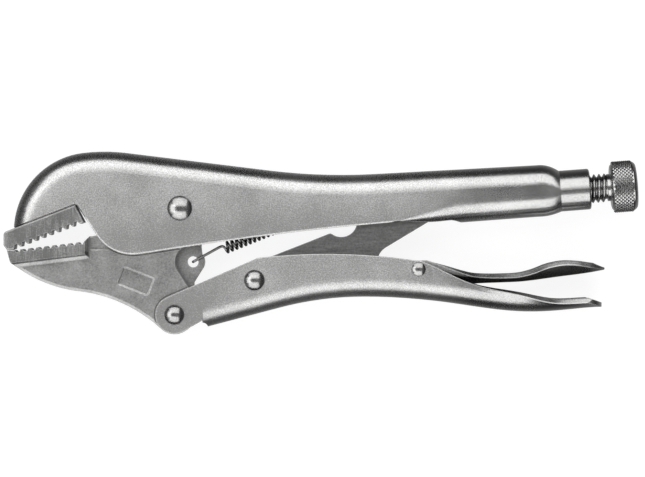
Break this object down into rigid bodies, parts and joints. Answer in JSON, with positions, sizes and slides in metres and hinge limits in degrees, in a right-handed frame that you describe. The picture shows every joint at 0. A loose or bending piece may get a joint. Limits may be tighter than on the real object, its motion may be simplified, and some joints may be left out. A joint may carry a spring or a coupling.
{
  "type": "locking pliers",
  "caption": "Straight-jaw locking pliers: folded steel handles, forged toothed jaws, toggle link, release lever, return spring and a knurled adjusting screw.",
  "frame": {"origin": "on the main pivot's axis, level with the flat of its lower rivet head, which the tool rests on", "axes": "+X back along the tool to the adjusting knob, +Y up through the upper handle, +Z across the tool"},
  "size_m": [0.175, 0.0503, 0.0158],
  "materials": {
    "plated_sheet": "satin nickel plate",
    "forged_jaw": "ground and plated forging",
    "link_steel": "plain rolled steel",
    "screw_steel": "plated, knurled knob",
    "spring_wire": "drawn wire",
    "rivet_steel": "bright"
  },
  "bodies": {
    "upper": {"upper_handle": "plated_sheet", "fixed_jaw": "forged_jaw", "jaw_pivot_rivet": "rivet_steel", "return_spring": "spring_wire"},
    "jaw": {"moving_jaw": "forged_jaw"},
    "handle": {"lower_handle": "plated_sheet", "handle_pivot_rivet": "rivet_steel", "link_pivot_rivet": "rivet_steel", "lever_pivot_rivet": "rivet_steel"},
    "link": {"toggle_link": "link_steel"},
    "lever": {"release_lever": "plated_sheet"},
    "screw": {"adjusting_screw": "screw_steel"}
  },
  "joints": [
    {"name": "jaw_hinge", "type": "hinge", "parent": "upper", "child": "jaw", "pos_m": [0, 0, 0.0079], "axis": [0, 0, 1], "range_deg": [0, 22], "deforming": ["return_spring"]},
    {"name": "handle_hinge", "type": "hinge", "parent": "jaw", "child": "handle", "pos_m": [-0.0015, -0.0293, 0.0079], "axis": [0, 0, 1], "range_deg": [-69.3, 0]},
    {"name": "link_hinge", "type": "hinge", "parent": "handle", "child": "link", "pos_m": [0.0205, -0.0198, 0.0079], "axis": [0, 0, 1], "range_deg": [0, 71.5]},
    {"name": "lever_hinge", "type": "hinge", "parent": "handle", "child": "lever", "pos_m": [0.0657, -0.0168, 0.0079], "axis": [0, 0, 1], "range_deg": [-8.5, 0]},
    {"name": "screw_slide", "type": "slide", "parent": "upper", "child": "screw", "axis": [0.9972, 0.075, 0], "range_m": [0, 0.022]}
  ],
  "couplings": [
    {"joint": "handle_hinge", "follows": "jaw_hinge", "ratio": -3.15},
    {"joint": "link_hinge", "follows": "jaw_hinge", "ratio": 3.25}
  ]
}
